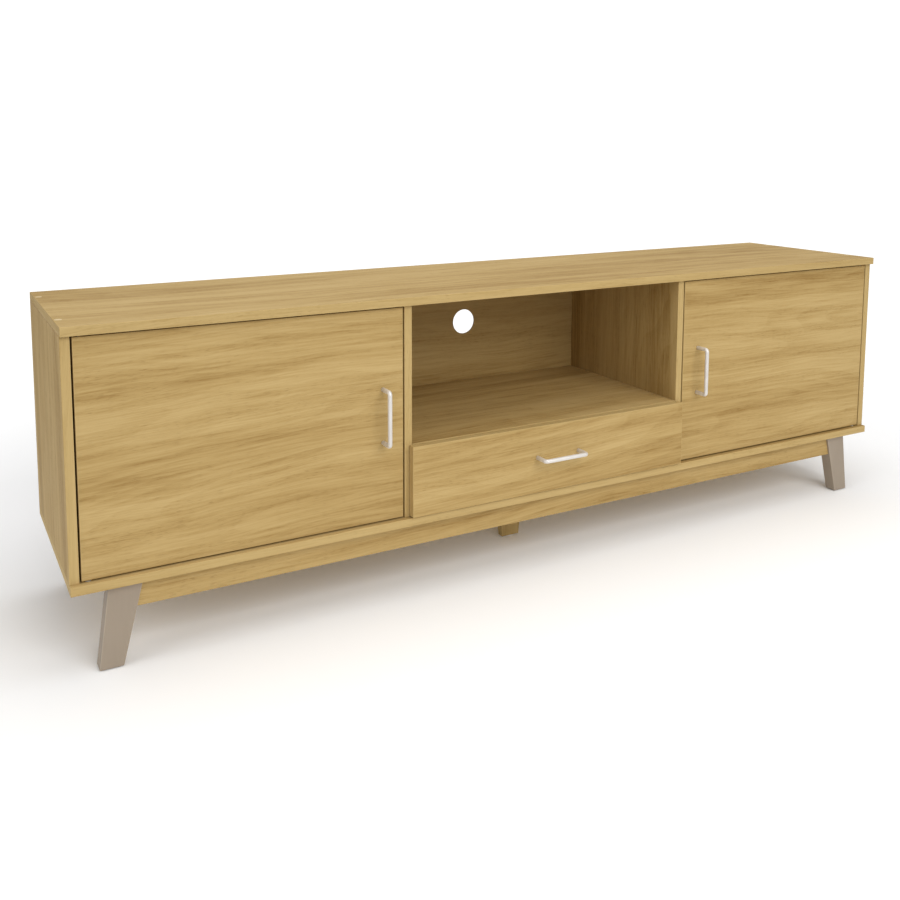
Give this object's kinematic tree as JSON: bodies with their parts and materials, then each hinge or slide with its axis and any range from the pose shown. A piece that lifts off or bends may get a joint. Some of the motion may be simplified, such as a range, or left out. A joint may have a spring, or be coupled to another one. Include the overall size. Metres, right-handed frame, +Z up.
{
  "type": "tv stand with doors",
  "caption": "Long low television stand with an open niche above a drawer, a cupboard with an inset door on each side, and splayed tapered legs.",
  "frame": {"origin": "on the floor, in the middle of the whole outline, which runs from the drawer handle's bar to the rear edge of the boards", "axes": "+X to the right along the width, +Y towards the rear, +Z up; the doors and the drawer face -Y"},
  "size_m": [1.8, 0.419, 0.556],
  "materials": {
    "oak_laminate": "satin",
    "oak_back": "satin",
    "oak_cap": "matte",
    "taupe_paint": "painted satin",
    "drawer_board": "satin",
    "beech": "bare",
    "satin_metal": "satin",
    "zinc_steel": "zinc plated",
    "white_runner": "powder coated",
    "white_plastic": "matte"
  },
  "bodies": {
    "carcass": {"top_panel": "oak_laminate", "bottom_panel": "oak_laminate", "left_side_panel": "oak_laminate", "right_side_panel": "oak_laminate", "left_divider": "oak_laminate", "right_divider": "oak_laminate", "niche_shelf": "oak_laminate", "left_shelf": "oak_laminate", "right_shelf": "oak_laminate", "left_shelf_pins": "zinc_steel", "right_shelf_pins": "zinc_steel", "left_back_panel": "oak_back", "centre_back_panel": "oak_back", "right_back_panel": "oak_back", "front_apron": "oak_laminate", "front_left_leg": "taupe_paint", "front_right_leg": "taupe_paint", "rear_left_leg": "taupe_paint", "rear_right_leg": "taupe_paint", "centre_leg": "oak_back", "foot_glides": "white_plastic", "leg_screws": "zinc_steel", "apron_screws": "zinc_steel", "top_screws": "zinc_steel", "screw_caps": "oak_cap", "bottom_screws": "zinc_steel", "top_cam_bolts": "zinc_steel", "top_cams": "zinc_steel", "niche_shelf_screws": "zinc_steel", "carcass_dowels": "beech", "hinge_bushes": "white_plastic", "magnetic_catches": "white_plastic", "cabinet_runners": "white_runner", "cabinet_runner_screws": "zinc_steel"},
    "left_leaf": {"left_door": "oak_laminate", "left_door_handle": "satin_metal", "left_handle_screws": "zinc_steel", "left_hinge_pins": "zinc_steel", "left_strike_plate": "zinc_steel"},
    "right_leaf": {"right_door": "oak_laminate", "right_door_handle": "satin_metal", "right_handle_screws": "zinc_steel", "right_hinge_pins": "zinc_steel", "right_strike_plate": "zinc_steel"},
    "drawer_box": {"drawer_front": "oak_laminate", "drawer_left_side": "drawer_board", "drawer_right_side": "drawer_board", "drawer_back": "drawer_board", "drawer_bottom": "drawer_board", "drawer_handle": "satin_metal", "drawer_handle_screws": "zinc_steel", "drawer_cam_bolts": "zinc_steel", "drawer_cams": "zinc_steel", "drawer_back_screws": "zinc_steel", "drawer_runners": "white_runner", "drawer_runner_screws": "zinc_steel"},
    "front_roller_pair": {"front_rollers": "white_plastic"},
    "rear_roller_pair": {"rear_rollers": "white_plastic"}
  },
  "joints": [
    {"name": "left_door_hinge", "type": "hinge", "parent": "carcass", "child": "left_leaf", "pos_m": [-0.87148, -0.154, 0.347], "axis": [0, 0, -1], "range_deg": [0, 105]},
    {"name": "right_door_hinge", "type": "hinge", "parent": "carcass", "child": "right_leaf", "pos_m": [0.87148, -0.154, 0.347], "axis": [0, 0, 1], "range_deg": [0, 105]},
    {"name": "drawer_slide", "type": "slide", "parent": "carcass", "child": "drawer_box", "axis": [0, -1, 0], "range_m": [0, 0.24]},
    {"name": "front_roller_spin", "type": "hinge", "parent": "carcass", "child": "front_roller_pair", "pos_m": [0, -0.145, 0.183], "axis": [1, 0, 0], "range_deg": [0, 1200]},
    {"name": "rear_roller_spin", "type": "hinge", "parent": "drawer_box", "child": "rear_roller_pair", "pos_m": [0, 0.124, 0.183], "axis": [1, 0, 0], "range_deg": [0, 1200]}
  ],
  "couplings": [
    {"joint": "front_roller_spin", "follows": "drawer_slide", "rad_per_m": 86.957},
    {"joint": "rear_roller_spin", "follows": "drawer_slide", "rad_per_m": 86.957}
  ]
}
